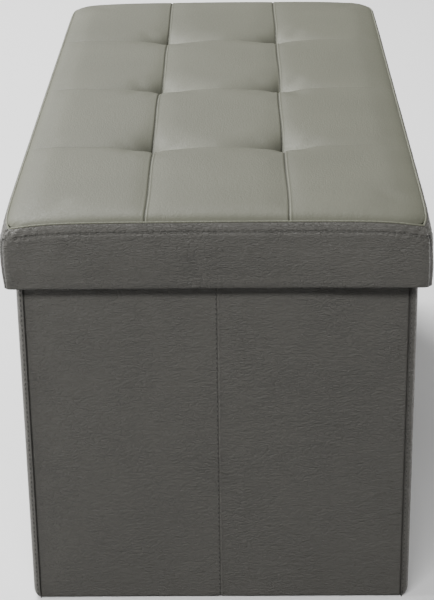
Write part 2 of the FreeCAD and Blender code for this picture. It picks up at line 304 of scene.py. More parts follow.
def leatherette(name, colour, wrinkle, grain, roughness, along, size=150, gloss=0.3):
    """Grained plastic leather. along stretches the wrinkles: small numbers are the
    directions they run in. A point's "seam" value darkens it with painted shade;
    a value below nothing lightens it with a painted highlight."""
    material, tree, shader = new_material(name)
    cloud = texture(tree, "Noise", 9, Detail=3)
    crease = texture(tree, "Noise", 75, along, Detail=4, Roughness=0.6, Distortion=1.6)
    patchy = texture(tree, "Noise", 24, Detail=2)
    cells = grain_cells(tree, along, size, 1.6)
    pores = texture(tree, "Voronoi", 820)
    soft = texture(tree, "Noise", 420, Detail=2)
    # the "seam" attribute: painted shade, and below nothing a painted highlight
    attribute = tree.nodes.new("ShaderNodeAttribute")
    attribute.attribute_name = "seam"
    seam = ramp(tree, attribute.outputs["Fac"], 1.39, 0.22, -0.5, 1)
    tone = ramp(tree, cloud, 0.95, 1.05)
    amount = ramp(tree, patchy, 0.35, 1.0, 0.35, 0.65)
    valley = ramp(tree, cells, 1 - wrinkle * 0.11, 1 + wrinkle * 0.02, 0, 1)
    uneven = wrinkle * 0.13
    lines = ramp(tree, crease, 1 - uneven, 1 + uneven)
    tint(tree, shader, colour, times(tree, times(tree, times(tree, tone, lines), valley), seam))
    rough = ramp(tree, soft, roughness - 0.05, roughness + 0.07)
    tree.links.new(rough, shader.inputs["Roughness"])
    first = bump(tree, pores, 0.0003, grain)
    second = bump(tree, soft, 0.0003, grain * 0.7, first)
    third = bump(tree, times(tree, cells, amount), 0.0008, wrinkle, second)
    fourth = bump(tree, crease, 0.0014, wrinkle, third)
    tree.links.new(fourth, shader.inputs["Normal"])
    put(shader, Specular_IOR_Level=gloss)
    return material


def cloth_material(name, colour, scale, roughness=0.9, sheen=0.3, weave=0.5):
    """Felted or woven cloth: crossed fibres, with a soft sheen."""
    material, tree, shader = new_material(name)
    fine = texture(tree, "Noise", scale, Detail=4)
    dimple = texture(tree, "Voronoi", scale * 0.45)
    cloud = texture(tree, "Noise", 14, Detail=2)
    fibres = ramp(tree, fine, 0.72, 1.28)
    patches = ramp(tree, cloud, 0.9, 1.1)
    tint(tree, shader, colour, times(tree, fibres, patches))
    first = bump(tree, dimple, 0.0005, weave)
    second = bump(tree, fine, 0.0004, weave, first)
    tree.links.new(second, shader.inputs["Normal"])
    put(shader, Roughness=roughness, Sheen_Weight=sheen)
    return material


def board_material(name, colour, fibre):
    """Pressed fibreboard or sawn softwood: short flecks stretched along the board."""
    material, tree, shader = new_material(name)
    fleck = texture(tree, "Noise", 240, fibre, Detail=6, Roughness=0.7)
    cloud = texture(tree, "Noise", 20, fibre, Detail=2)
    flecks = ramp(tree, fleck, 0.7, 1.25)
    patches = ramp(tree, cloud, 0.9, 1.1)
    tint(tree, shader, colour, times(tree, flecks, patches))
    relief = bump(tree, fleck, 0.0005, 0.4)
    tree.links.new(relief, shader.inputs["Normal"])
    put(shader, Roughness=0.8)
    return material


def thread_material(name, colour):
    """Twisted thread; dark and even, it also serves for the moulded anchors."""
    material, tree, shader = new_material(name)
    twist = texture(tree, "Noise", 1800, Detail=2)
    tint(tree, shader, colour, ramp(tree, twist, 0.75, 1.2))
    relief = bump(tree, twist, 0.0002, 0.6)
    tree.links.new(relief, shader.inputs["Normal"])
    put(shader, Roughness=0.7)
    return material


def metal_material(name, colour):
    """Drawn wire, with fine scratches along it."""
    material, tree, shader = new_material(name)
    scratch = texture(tree, "Noise", 900, (1, 6, 1), Detail=3)
    tint(tree, shader, colour, ramp(tree, scratch, 0.85, 1.1))
    rough = ramp(tree, scratch, 0.28, 0.45)
    tree.links.new(rough, shader.inputs["Roughness"])
    put(shader, Metallic=1.0)
    return material


SIDE = (0.098, 0.0945, 0.0850)
TOP = (0.122, 0.1235, 0.0945)
SHADED = tuple(c * 0.55 for c in SIDE)
side_leather = leatherette("side_leatherette", SIDE, 0.60, 0.30, 0.48, (1, 1, 3.2), 165)
top_leather = leatherette("top_leatherette", TOP, 0.11, 0.18, 0.56, (2.4, 1, 1), 150, 0.2)
seam_leather = leatherette("seam_leatherette", SHADED, 0.3, 0.3, 0.6, (1, 1, 4))
thread = thread_material("seam_thread", (0.115, 0.113, 0.103))
dark_thread = thread_material("crease_thread", (0.018, 0.017, 0.016))
lining_cloth = cloth_material("lining_cloth", (0.020, 0.020, 0.021), 700)
sleeve_cloth = cloth_material("sleeve_cloth", (0.026, 0.026, 0.027), 620)
foam_sponge = cloth_material("foam", (0.62, 0.58, 0.44), 500, 0.95, 0.1, 0.9)
fibreboard = board_material("fibreboard", (0.30, 0.20, 0.11), (1, 1, 1))
softwood = board_material("rail_wood", (0.50, 0.36, 0.20), (1, 0.08, 1))
plastic = thread_material("anchor_plastic", (0.03, 0.03, 0.03))
steel = metal_material("staple_wire", (0.62, 0.62, 0.63))


# ---- the lid's outline
def outline_at(s, half_x=LID_X, half_y=LID_Y, radius=SKIRT_R):
    """A point of a rounded rectangle, and its outward normal, s round from the middle
    of its front."""
    side_x, side_y = half_x - radius, half_y - radius
    quarter = radius * math.pi / 2
    runs = [
        ("line", (0, -half_y), (1, 0), side_x),
        ("arc", (side_x, -side_y), -90, quarter),
        ("line", (half_x, -side_y), (0, 1), 2 * side_y),
        ("arc", (side_x, side_y), 0, quarter),
        ("line", (side_x, half_y), (-1, 0), 2 * side_x),
        ("arc", (-side_x, side_y), 90, quarter),
        ("line", (-half_x, side_y), (0, -1), 2 * side_y),
        ("arc", (-side_x, -side_y), 180, quarter),
        ("line", (-side_x, -half_y), (1, 0), side_x),
    ]
    for run in runs:
        kind, start, turn, length = run
        if s <= length or run is runs[-1]:
            break
        s -= length
    if kind == "line":
        return start[0] + turn[0] * s, start[1] + turn[1] * s, turn[1], -turn[0]
    angle = math.radians(turn + 90 * s / length)
    nx, ny = math.cos(angle), math.sin(angle)
    return start[0] + radius * nx, start[1] + radius * ny, nx, ny


def outline_length(half_x=LID_X, half_y=LID_Y, radius=SKIRT_R):
    """The way round a rounded rectangle."""
    quarter = radius * math.pi / 2
    return sum([2 * (half_x - radius), quarter, 2 * (half_y - radius), quarter] * 2)


def outline(step, fine, reach=26.0, half_x=LID_X, half_y=LID_Y, radius=SKIRT_R):
    """Points round a rounded rectangle (x, y and outward normal), and the length so far
    at each. They go anticlockwise from the middle of the front, closer near corners."""
    quarter = radius * math.pi / 2
    total = outline_length(half_x, half_y, radius)
    corners, at = [], half_x - radius
    for i in range(4):
        corners.append(at + quarter / 2)
        at += quarter + 2 * ((half_y if i % 2 == 0 else half_x) - radius)
    places = [(c, quarter / 2 + reach) for c in corners + [corners[-1] - total]]
    marks = spaced(0, total, step, fine, places)[:-1]
    return [outline_at(s, half_x, half_y, radius) for s in marks], marks


def corner_distance(x, y):
    """How far a point is, in plan, from the nearest corner of the lid."""
    return np.hypot(np.abs(x) - LID_X, np.abs(y) - LID_Y)


def long_side(y):
    """1 along the lid's long sides, 0 at its ends."""
    return 1 - float(smooth(LID_Y - 40, LID_Y - 3, abs(y)))


def seam_height(x, y):
    """The height of the seam round the top; it droops at the corners, most in front."""
    d = corner_distance(x, y)
    droop = np.where(np.asarray(y, float) > 0, 3.4, 6.4)
    return SEAM_Z - droop * decay(d, 24.0, 1.2) - 1.2 * decay(d, 60.0)


def corner_pull(x, y):
    """How much further in the seam runs round each corner, in plan; more at the rear."""
    rear = np.asarray(y, float) > 0
    reach = np.where(rear, 15.0, 11.0)
    return np.where(rear, 6.8, 4.4) * decay(corner_distance(x, y), reach, 2)


def pad_round(y):
    """The pad's corner radius in plan: its rear corners are rounder."""
    return np.where(np.asarray(y, float) > 0, PAD_R + 7.0, PAD_R)


def seam_inset(x, y):
    """How far the seam lies inside the lid's outline: more along the long sides."""
    end = smooth(LID_Y - 40, LID_Y - 3, np.abs(y))
    return 3.4 + 1.0 * end + corner_pull(x, y)


# ---- the tufted pad
def pad_height(x, y):
    """The top cover's height above the seam, before its fine seams are added."""
    x, y = np.asarray(x, float), np.asarray(y, float)
    turn = pad_round(y)
    qx, qy = np.abs(x) - (PAD_X - turn), np.abs(y) - (PAD_Y - turn)
    out = np.hypot(qx.clip(0), qy.clip(0)) + np.minimum(np.maximum(qx, qy), 0)
    edge = (turn - out).clip(0)
    both = (PAD_X - np.abs(x)).clip(0) * (PAD_Y - np.abs(y)).clip(0)
    shoulder = 1 - decay(edge, 5.2)
    corner = 1 - np.where(y > 0, 0.28, 0.35) * decay(np.sqrt(both), 18.0)
    height = PAD_RISE * shoulder * corner
    run = np.where(qx > qy, y, x)
    puckers = np.sin(run / 2.3 + 2 * np.sin(run / 17.0))
    height += 0.16 * puckers * decay(edge, 8.0) * shoulder
    # each of the twelve fields is a little crowned
    column = (x + TUFT_X * 3) / (2 * TUFT_X)
    row = (y + TUFT_Y * 2) / TUFT_Y
    across = np.abs((column % 1) * 2 - 1)
    down = np.abs((row % 1) * 2 - 1)
    height += 0.6 * (1 - across**2.4) * (1 - down**2.2) * shoulder
    # the lengthwise seams pull a shallow valley
    seam = np.minimum(np.abs(x - TUFT_X), np.abs(x + TUFT_X))
    height -= 0.6 * decay(seam, 3.5) * shoulder
    # the cross tucks: steep on the near side, long on the far side
    deep = TUCK_DEPTH * decay(seam, 17.0) + 4.2 * decay(seam, 40.0)
    deep += 0.6 * smooth(0, 26, PAD_X - np.abs(x))
    reach = 11.0 + 19.0 * decay(seam, 20.0)
    for r in (-1, 0, 1):
        dy = y - r * TUFT_Y
        far = decay(dy.clip(0), reach, 1.25)
        sharp = decay((-dy).clip(0), 3.6, 1.2)
        near = 0.6 * sharp + 0.4 * decay((-dy).clip(0), 16.0, 1.4)
        height -= deep * far * near
        for c in (-1, 1):
            dx = x - c * TUFT_X
            d = np.hypot(dx, np.where(dy > 0, dy / 1.3, dy * 1.2))
            height -= 2.4 * decay(d, 6.0, 1.3)
            # folds that run out from the tuck
            fold = np.sin(np.arctan2(dy, dx) * 4 + c * 0.9 + r * 1.7)
            height += 0.4 * fold * np.exp(-((d - 15) ** 2) / 120.0)
    # gathers at the four corners
    cx, cy = PAD_X - np.abs(x) + 4, PAD_Y - np.abs(y) + 4
    d = np.hypot(cx, cy)
    gather = np.sin(np.arctan2(cy, cx) * 15 + 2 * np.sign(x) + np.sign(y))
    height += 0.55 * gather * decay(d, 17.0, 2) * smooth(2, 8, d)
    return height


def fine_seams(x, y):
    """The sewn lines on the top cover: the change of height, and the "seam" value,
    which paints shade in the seams, at the tucks and in the pockets behind them,
    and paints highlights beside them.
    """
    change, dark, light = np.zeros_like(x), np.zeros_like(x), np.zeros_like(x)
    row = np.clip(np.round(y / TUFT_Y - 0.5), -2, 1)
    jog = 1.1 * np.sin(row * 2.4 + 0.7) + 0.5 * np.sin(y / 31.0)
    for c in (-1, 1):
        dx = x - c * TUFT_X - jog - c * 0.4
        change -= 1.15 * bell(dx, 0.7)
        change += 0.42 * bell(dx - 1.6, 0.9)
        change += 0.10 * bell(dx + 2.2, 1.2)
        # painted shade in each lengthwise seam, and a painted highlight on the ridge beside it
        dark = np.maximum(dark, 0.92 * bell(dx, 0.55))
        light = np.maximum(light, 0.13 * bell(dx - 1.4, 0.8))
    seam = np.minimum(np.abs(x - TUFT_X), np.abs(x + TUFT_X))
    left = smooth(2, -2, x - np.where(x > 0, TUFT_X, -TUFT_X))
    wide = 12.0 + 14.0 * decay(seam, 14.0)
    near = decay(seam, 40.0, 1.6)
    fade = smooth(4, 22, LID_X - np.abs(x))
    strength = (0.42 + 0.65 * near) * fade
    # the painted shade along the cross seams is stronger on the left of the lid
    line = 0.34 - 0.14 * np.sign(x) * smooth(50, 75, np.abs(x))
    for r in (-1, 0, 1):
        dy = y - r * TUFT_Y - 0.8 * np.sin(x / 37.0 + r)
        # painted shade on the left of the pocket behind each tuck, and a painted highlight on
        # its right
        pocket = decay(seam, 26.0, 1.4) * decay(dy.clip(0), wide, 2)
        pocket *= smooth(0, 2, dy)
        dark = np.maximum(dark, 0.62 * pocket * left)
        light = np.maximum(light, 0.24 * pocket * (1 - left))
        # a painted highlight on the lip in front of each tuck
        lip = decay(seam, 34.0, 1.5) * bell(dy + 4.0, 3.2)
        light = np.maximum(light, 0.22 * lip)
        # the cross seam itself: a groove, with painted shade along it
        change -= strength * bell(dy, 0.9)
        change += 0.35 * strength * bell(dy + 1.9, 1.3)
        dark = np.maximum(dark, (line + 0.4 * near) * fade * bell(dy, 0.75))
        # painted shade in the dimple at each tuck
        for c in (-1, 1):
            d = np.hypot(x - c * TUFT_X, y - r * TUFT_Y)
            dark = np.maximum(dark, 0.8 * decay(d, 2.4, 2))
    return change, dark - light * (1 - dark)


def rounded(a, b, half_a, half_b, radius):
    """Move the points of a rectangle's corners in, onto rounded corners."""
    u = (np.abs(a) - (half_a - radius)) / radius
    v = (np.abs(b) - (half_b - radius)) / radius
    inside = (u > 0) & (v > 0)
    u, v = np.where(inside, u, 1.0), np.where(inside, v, 1.0)
    k = np.maximum(u, v) / np.hypot(u, v)
    x = np.where(inside, np.sign(a) * (half_a - radius + radius * u * k), a)
    y = np.where(inside, np.sign(b) * (half_b - radius + radius * v * k), b)
    return x, y


def relax(points, rows, columns, held, pressure, cap, frames=20):
    """Blow a grid of points up a little as cloth, and return how far each one moves.
    held says how firmly each is held, and cap is the most that one may move."""
    mesh = bpy.data.meshes.new("relaxed")
    mesh.from_pydata(
        [tuple(p) for p in points.reshape(-1, 3) * MM], [], grid_faces(rows, columns)
    )
    obj = add_object("relaxed", mesh)
    group = obj.vertex_groups.new(name="held")
    for i, weight in enumerate(held.ravel()):
        if weight > 0.01:
            group.add([i], float(weight), "REPLACE")
    cloth = obj.modifiers.new("cloth", "CLOTH")
    settings = cloth.settings
    settings.quality, settings.mass = 6, 0.35
    settings.tension_stiffness = settings.compression_stiffness = 12
    settings.shear_stiffness, settings.bending_stiffness = 5, 0.8
    settings.vertex_group_mass = "held"
    settings.use_pressure, settings.uniform_pressure_force = True, pressure
    settings.effector_weights.gravity = 0
    cloth.collision_settings.use_collision = False
    scene = bpy.context.scene
    for step in range(1, frames + 1):
        scene.frame_set(step)
    graph = bpy.context.evaluated_depsgraph_get()
    result = obj.evaluated_get(graph).to_mesh()
    moved = np.zeros(len(result.vertices) * 3)
    result.vertices.foreach_get("co", moved)
    shift = moved.reshape(-1, 3) / MM - points.reshape(-1, 3)
    scene.frame_set(1)
    bpy.data.objects.remove(obj)
    length = np.linalg.norm(shift, axis=1, keepdims=True)
    shift *= np.minimum(1, cap / np.maximum(length, 1e-9))
    return shift.reshape(rows, columns, 3)


def pad_relief():
    """What the cloth simulation adds to the pad's height, on a coarse grid."""
    xs = np.linspace(-PAD_X, PAD_X, 78)
    ys = np.linspace(-PAD_Y, PAD_Y, 158)
    x, y = np.meshgrid(xs, ys)
    points = np.stack([x, y, seam_height(x, y) + pad_height(x, y)], axis=2)
    held = np.zeros_like(x)
    held[[0, -1], :] = 1
    held[:, [0, -1]] = 1
    for c in (-1, 1):
        held = np.maximum(held, 0.55 * bell(x - c * TUFT_X, 4.0))
        for r in (-1, 0, 1):
            d = np.hypot(x - c * TUFT_X, y - r * TUFT_Y)
            held = np.maximum(held, bell(d, 9.0))
    shift = relax(points, len(ys), len(xs), held, 2.0, 0.8)
    lift = shift[:, :, 2]
    for _ in range(3):
        inner = lift[1:-1, 1:-1]
        around = lift[:-2, 1:-1] + lift[2:, 1:-1] + lift[1:-1, :-2] + lift[1:-1, 2:]
        lift[1:-1, 1:-1] = 0.5 * inner + 0.125 * around
    return xs, ys, lift


def sample(xs, ys, values, x, y):
    """Bilinear values of a regular grid at any points."""
    u = np.clip((x - xs[0]) / (xs[1] - xs[0]), 0, len(xs) - 1.001)
    v = np.clip((y - ys[0]) / (ys[1] - ys[0]), 0, len(ys) - 1.001)
    i, j = u.astype(int), v.astype(int)
    u, v = u - i, v - j
    low = values[j, i] * (1 - u) + values[j, i + 1] * u
    high = values[j + 1, i] * (1 - u) + values[j + 1, i + 1] * u
    return low * (1 - v) + high * v


def closed_pad(name, node, xs, ys, height, side, material, slot, shade=None):
    """A closed pad: its top is a grid, and its sides go down to a flat underside.
    side holds each ring's inset and level, and shade gives the top's "seam" values."""
    x, y = np.meshgrid(xs, ys)
    half_x, half_y = xs[-1], ys[-1]
    x, y = rounded(x, y, half_x, half_y, pad_round(y) - (PAD_X - half_x))
    top = np.stack([x, y, height(x, y)], axis=2)
    rim = top.reshape(-1, 3)[rim_loop(*x.shape)]
    rings = []
    for inset, level in side:
        ring = rim.copy()
        ring[:, 0] -= np.sign(rim[:, 0]) * inset * (np.abs(rim[:, 0]) > half_x - 10)
        ring[:, 1] -= np.sign(rim[:, 1]) * inset * (np.abs(rim[:, 1]) > half_y - 10)
        ring[:, 2] = np.minimum(rim[:, 2] - 0.6, level)
        rings.append(ring)
    points, faces = closed_form(top, rings)
    seam = np.zeros(len(points)) if shade else None
    if shade:
        seam[: x.size] = shade(x, y).ravel()
    return make_object(name, points, faces, material, "lid", slot, node, seam)


def make_pad():
    """The tufted top cover and the foam inside it."""
    relief = pad_relief()
    tucks_x, tucks_y = (-TUFT_X, TUFT_X), (-TUFT_Y, 0, TUFT_Y)

    def surface(x, y):
        return seam_height(x, y) + pad_height(x, y) + sample(*relief, x, y)

    def sewn(x, y):
        return surface(x, y) + fine_seams(x, y)[0]

    def shade(x, y):
        return fine_seams(x, y)[1]

    def sponge(x, y):
        return surface(x, y) - COVER_GAP

    near_x = [(x, 4.5) for x in tucks_x] + [(-PAD_X, 3), (PAD_X, 3)]
    near_y = [(y, 6) for y in tucks_y] + [(-PAD_Y, 3), (PAD_Y, 3)]
    xs = spaced(-PAD_X, PAD_X, 3.6, 0.5, near_x)
    ys = spaced(-PAD_Y, PAD_Y, 4.0, 0.7, near_y)
    side = [(0.4, 388.0), (0.2, 384.0), (0.0, 372.0), (0.4, 366.2), (1.6, 365.3)]
    names = ("tufted_cover", "lid_top_cover")
    cover = closed_pad(*names, xs, ys, sewn, side, top_leather, "top_leatherette", shade)
    foam_x, foam_y = PAD_X - 3, PAD_Y - 3
    xs = spaced(-foam_x, foam_x, 6, 2.5, [(x, 8) for x in tucks_x])
    ys = spaced(-foam_y, foam_y, 7, 3, [(y, 9) for y in tucks_y])
    side = [(0.0, 384.0), (0.0, 372.0), (0.5, 366.6), (2.0, 366.0)]
    foam = closed_pad("foam_pad", "lid_foam", xs, ys, sponge, side, foam_sponge, "foam")


def make_cords():
    """The six twisted cords that pull the tucks down to their anchors."""
    rows, sides, pitch, twist, strand = 40, 6, 4.2, 0.45, 0.5
    base = node_box("tuft_cords")[0][2]
    points, faces = [], []
    for c in (-1, 1):
        for r in (-1, 0, 1):
            x0, y0 = c * TUFT_X, r * TUFT_Y
            tip = float(seam_height(x0, y0) + pad_height(x0, y0)) - 1.6
            for ply in (0, 1):
                start = len(points)
                for i in range(rows):
                    z = base + (tip - base) * i / (rows - 1)
                    turn = 2 * math.pi * (z / pitch + ply / 2)
                    x, y = x0 + twist * math.cos(turn), y0 + twist * math.sin(turn)
                    for k in range(sides):
                        a = 2 * math.pi * k / sides
                        points.append((x + strand * math.cos(a), y + strand * math.sin(a), z))
                faces += tube_faces(rows, sides, start)
    make_object("twisted_cords", points, faces, thread, "lid", "cord", "tuft_cords")


# ---- the skirt
def dip(x, width):
    """A bell curve of one number."""
    return math.exp(-((x / width) ** 2))


def skirt_offset(depth, x, y):
    """How far the skirt stands outside the lid's outline, at a depth below its seam."""
    pull, side = float(corner_pull(x, y)), long_side(y)
    start = -(4.3 - 1.0 * side + pull)
    reach = 8.5 - 3.0 * side + (0.6 if y < 0 else 1.1) * pull
    share = np.clip(depth / reach, 0, 1)
    rise = np.sqrt(1 - (1 - share) ** 2)
    full = 0.4 + 1.6 * float(smooth(-100, -380, y) if y < -100 else 0)
    bulge = full * np.sin(np.pi * np.clip(depth / 52.0, 0, 1)) ** 0.8
    return start * (1 - rise) + bulge * smooth(0, 14, depth)


def skirt_wave(x, y, z):
    """The slow waves of the skirt."""
    return 0.42 * wave(x, y, z * 1.6, 46, 2)


def skirt_detail(s, depth, near, upright):
    """The small relief of the skirt, s round the lid and at a depth below its seam,
    and its "seam" value: painted shade and a painted highlight. near is the distance
    to the corner, and upright that to the upright seam in the middle of the corner."""
    gather = math.exp(-((near / 24.0) ** 1.5)) * math.exp(-depth / 13.0)
    pull = 0.55 + 0.45 * math.cos(2 * math.pi * s / STITCH)
    line = dip(upright, 0.8) * float(smooth(4, 9, depth))
    relief = [
        0.75 * gather * math.sin(s / 1.55 + 0.6 * depth),
        -(0.35 + 0.8 * pull) * dip(depth - ROW_DEPTH, 1.2),
        0.45 * dip(depth - ROW_DEPTH - 2.3, 1.3),
        -0.8 * line,
        0.35 * dip(abs(upright) - 1.9, 0.9),
    ]
    # painted shade in the upright seams, under the welt, along the row of stitches and towards
    # the lower edge
    dark = max(
        0.85 * line,
        0.12 * math.exp(-depth / 0.5),
        0.42 * pull * dip(depth - ROW_DEPTH, 0.8),
        0.34 * float(smooth(53, 61, depth)),
    )
    # a painted highlight on the shoulder below the welt, where nothing else is painted
    if dark < 0.05:
        dark -= 0.09 * dip(depth - 4.5, 3.5)
    return sum(relief), dark


def make_skirt():
    """The band round the lid: a closed skin that turns in under the rails."""
    points, marks = outline(1.23, 0.8)
    depths = [0, 0.5, 1.1, 1.8, 2.7, 3.8, 5.2, 6.6, 7.5, 8.0, 8.5, 9.4, 11, 13.5, 17]
    depths += [21, 25.5, 30, 34.5, 39, 43.5, 48, 52, 55.5, 58.5, 60.5, 61.7]
    depths = np.array(depths) / 62.8
    # the turned-in edge and the inner face: offset from the outline, and height
    inner = [(-0.4, 328.35), (-1.3, 328.0), (-4.5, 328.0), (-7.8, 328.05)]
    inner += [(-7.85, 329.0), (-1.32, 329.05), (-1.15, 332), (-1.1, 350), (-1.1, 370)]
    inner += [(-1.2, 381.0)]
    result = np.zeros((len(marks), len(depths) + len(inner) + 1, 3))
    dark = np.zeros(result.shape[:2])
    for i, (x, y, nx, ny) in enumerate(points):
        top = float(seam_height(x, y))
        near = float(corner_distance(x, y))
        turn = math.atan2(abs(ny), abs(nx)) - math.pi / 4
        upright = turn * SKIRT_R if near < 15 else 99
        # the lower edge flares out a little towards the near right corner
        front = 2.4 * float(smooth(60, 150, x)) * float(smooth(-376, -386, y))
        right = 2.4 * float(smooth(170, 186, x)) * float(smooth(-340, -376, y))
        flare = front + right * (1 - front / 2.4)
        for k, share in enumerate(depths):
            depth = share * (top - HEM_Z)
            z = top - depth
            relief, dark[i, k] = skirt_detail(marks[i], depth, near, upright)
            slow = skirt_wave(x, y, z) * (1 - abs(2 * share - 1) ** 4)
            off = float(skirt_offset(depth, x, y)) + slow + relief
            off += flare * float(smooth(16, 56, depth))
            result[i, k] = (x + nx * off, y + ny * off, z)
        for k, (off, z) in enumerate(inner):
            off += flare * math.exp(off) if z < HEM_Z + 0.5 else 0
            result[i, len(depths) + k] = (x + nx * off, y + ny * off, z)
        inset = float(seam_inset(x, y)) + 1.1
        result[i, -1] = (x - nx * inset, y - ny * inset, top - 1.6)
    faces = grid_faces(*result.shape[:2], True, True)
    finish = (side_leather, "lid", "side_leatherette")
    make_object("skirt_band", result, faces, *finish, "lid_skirt_cover", dark)


def make_welt():
    """The raised edge of the top seam, puckered by its stitches, with a painted highlight that
    is stronger in some places.
    """
    outline_points, marks = outline(1.25, 1.0)
    sides = 8
    points = []
    for s, (x, y, nx, ny) in zip(marks, outline_points):
        inset = float(seam_inset(x, y)) - 0.1
        middle = np.array((x - nx * inset, y - ny * inset, float(seam_height(x, y)) + 0.15))
        pull = 0.5 + 0.5 * math.cos(2 * math.pi * s / STITCH)
        wide, tall = 1.05 - 0.22 * pull, 0.95 - 0.20 * pull
        for k in range(sides):
            a = 2 * math.pi * k / sides
            out = np.array((nx, ny, 0)) * math.cos(a) * wide
            points.append(middle + out + np.array((0, 0, 1)) * math.sin(a) * tall)
    faces = grid_faces(len(marks), sides, True, True)
    rng = random.Random(12)
    # a painted highlight along the welt, stronger in some places than others
    painted_highlight = np.repeat([-0.22 - 0.26 * rng.random() for _ in marks], sides)
    finish = (top_leather, "lid", "top_leatherette")
    make_object("top_welt", points, faces, *finish, "lid_welt", painted_highlight)


# ---- stitches
def stitches(name, places, body, material, length, width, sink, seed):
    """Short threads lying on a surface. A place is (point, along, outward), and sink
    is how deep the threads' middles lie."""
    rng, sides = random.Random(seed), 6
    # along the thread, and its thickness there
    rings = [(-0.5, 0.25), (-0.38, 0.8), (-0.15, 1.0), (0.15, 1.0), (0.38, 0.8), (0.5, 0.25)]
    points, faces = [], []
    for point, along, out in places:
        along, out = Vector(along).normalized(), Vector(out).normalized()
        side = along.cross(out)
        along = (along + side * rng.uniform(-0.10, 0.10)).normalized()
        start = len(points)
        for t, share in rings:
            middle = Vector(point) + along * t * length - out * (sink + 1.6 * t * t * width)
            for k in range(sides):
                a = math.pi * 2 * k / sides
                across = side * math.cos(a) * width * share
                points.append(tuple(middle + across + out * math.sin(a) * width * share * 0.7))
        faces += tube_faces(len(rings), sides, start)
    return make_object(name, points, faces, material, body, "cord")


def lid_stitches():
    """The row of stitches below the top seam, and the skirt's four upright seams."""
    total = outline_length()
    count = int(total // STITCH)
    places = []
    for i in range(count):
        x, y, nx, ny = outline_at(i * total / count)
        z = float(seam_height(x, y)) - ROW_DEPTH
        off = float(skirt_offset(ROW_DEPTH, x, y)) - 0.30
        off += skirt_wave(x, y, z) * 0.6
        places.append(((x + nx * off, y + ny * off, z), (-ny, nx, 0), (nx, ny, 0)))
    stitches("skirt_stitches", places, "lid", thread, 2.9, 0.40, 0.12, 3)
    places = []
    for sx in (-1, 1):
        for sy in (-1, 1):
            for i in range(9):
                depth = 7 + i * 5.2
                z = 383 - depth
                reach = (SKIRT_R + 0.9 * math.sin(math.pi * depth / 60) - 0.1) * 0.7071
                x, y = LID_X - SKIRT_R + reach, LID_Y - SKIRT_R + reach
                places.append(((sx * x, sy * y, z), (0, 0, 1), (sx, sy, 0)))
    stitches("skirt_corner_stitches", places, "lid", dark_thread, 2.6, 0.34, 0.05, 5)


# ---- the body's panels
def panel_skin(name, body, node, axis, outward, foot, corner, crease_end, seed, plain=False):
    """A soft skin round a panel. axis is the panel's long direction, 0 for X, 1 for Y.

    foot is the rounding of the lower outer edge, corner that of the upright outer edges,
    and crease_end (-1, 1 or 0) the end at a crease, which is sharp, with a notched foot.
    A plain one is a wall's board, without wadding."""
    low, high = node_box(node)
    depth_axis = 1 - axis
    start, end, z0, z1 = low[axis], high[axis], low[2], high[2]
    back, front = low[depth_axis], high[depth_axis]
    if outward < 0:
        back, front = front, back
    thick = abs(front - back)
    if crease_end > 0:
        start, end = start - 0.9, -0.02
    elif crease_end < 0:
        start, end = 0.02, end + 0.5
    step, fine = (7.0, 0.45) if axis == 0 else (10.0, 0.8)
    us = spaced(start, end, step, fine, [(start, corner + 2.5), (end, corner + 2.5)])
    zs = spaced(z0, z1, 7.0, 1.0, [(z0, foot + 2), (z1, 5)])
    u, z = np.meshgrid(us, zs)
    side, above = np.minimum(u - start, end - u), z - z0
    # how far the face drops back near its upright edges, its foot and its head
    radius = np.where(crease_end * (u - (start + end) / 2) > 0, CREASE_R, corner)
    inside = (radius - side).clip(0)
    drop = radius - np.sqrt((radius**2 - inside**2).clip(0))
    up = (foot - above).clip(0)
    drop += min(foot, thick) * (1 - np.sqrt((1 - (up / foot) ** 2).clip(0)))
    over = (HEAD_R - (z1 - z)).clip(0)
    drop += HEAD_R - np.sqrt((HEAD_R**2 - over**2).clip(0))
    face = front - outward * np.minimum(drop, thick - 0.05)
    # thin wadding under the skin, and slow waves
    waves = 0.5 * wave_field(u, z, 0, 85, seed)
    waves += 0.16 * wave_field(u, z * 2.2, 5, 28, seed + 3)
    swell = 0.25 * (1 - decay(side, 9.0)) * (1 - decay(above, 9.0))
    lift = (swell + 0.34 * waves * (1 - decay(side, 12.0))).clip(-0.6, 0.25)
    face += outward * lift * (0 if plain else 1)
    grid = np.zeros((*u.shape, 3))
    if crease_end < 0:
        face += outward * 0.22 * bell(u - start - 1.6, 1.1)
    if crease_end:
        crease = end if crease_end > 0 else start
        z = z + 2.2 * decay(np.abs(u - crease), 2.4) * decay(above, 3.0)
    grid[:, :, axis], grid[:, :, depth_axis], grid[:, :, 2] = u, face, z
    # the sides, the hem turned in behind, and the flat inner face
    rim = grid.reshape(-1, 3)[rim_loop(*u.shape)]
    rings = []
    for share in (0.5, 1.0):
        ring = rim.copy()
        ring[:, depth_axis] += (back - rim[:, depth_axis]) * share
        rings.append(ring)
    hem = rings[-1].copy()
    hem[:, axis] += np.sign((start + end) / 2 - hem[:, axis]) * TURNED_IN
    hem[:, 2] += np.sign((z0 + z1) / 2 - hem[:, 2]) * TURNED_IN
    points, faces = closed_form(grid, rings + [hem])
    if (axis == 0) == (outward > 0):
        faces = flipped(faces)
    if axis == 1 and not plain:
        # the ends of a wall's skin wrap on to the corners' hinges; its inner face stays flat
        wrap = (np.abs(points[:, 1]) > 375) & (np.abs(points[:, 0]) < abs(back) + 0.1)
        wrap[-len(hem) :] = False
        points[wrap, 0] -= outward * 0.75
    material = fibreboard if plain else side_leather
    slot = "fibreboard" if plain else "side_leatherette"
    make_object(name, points, faces, material, body, slot, node, np.zeros(len(points)))


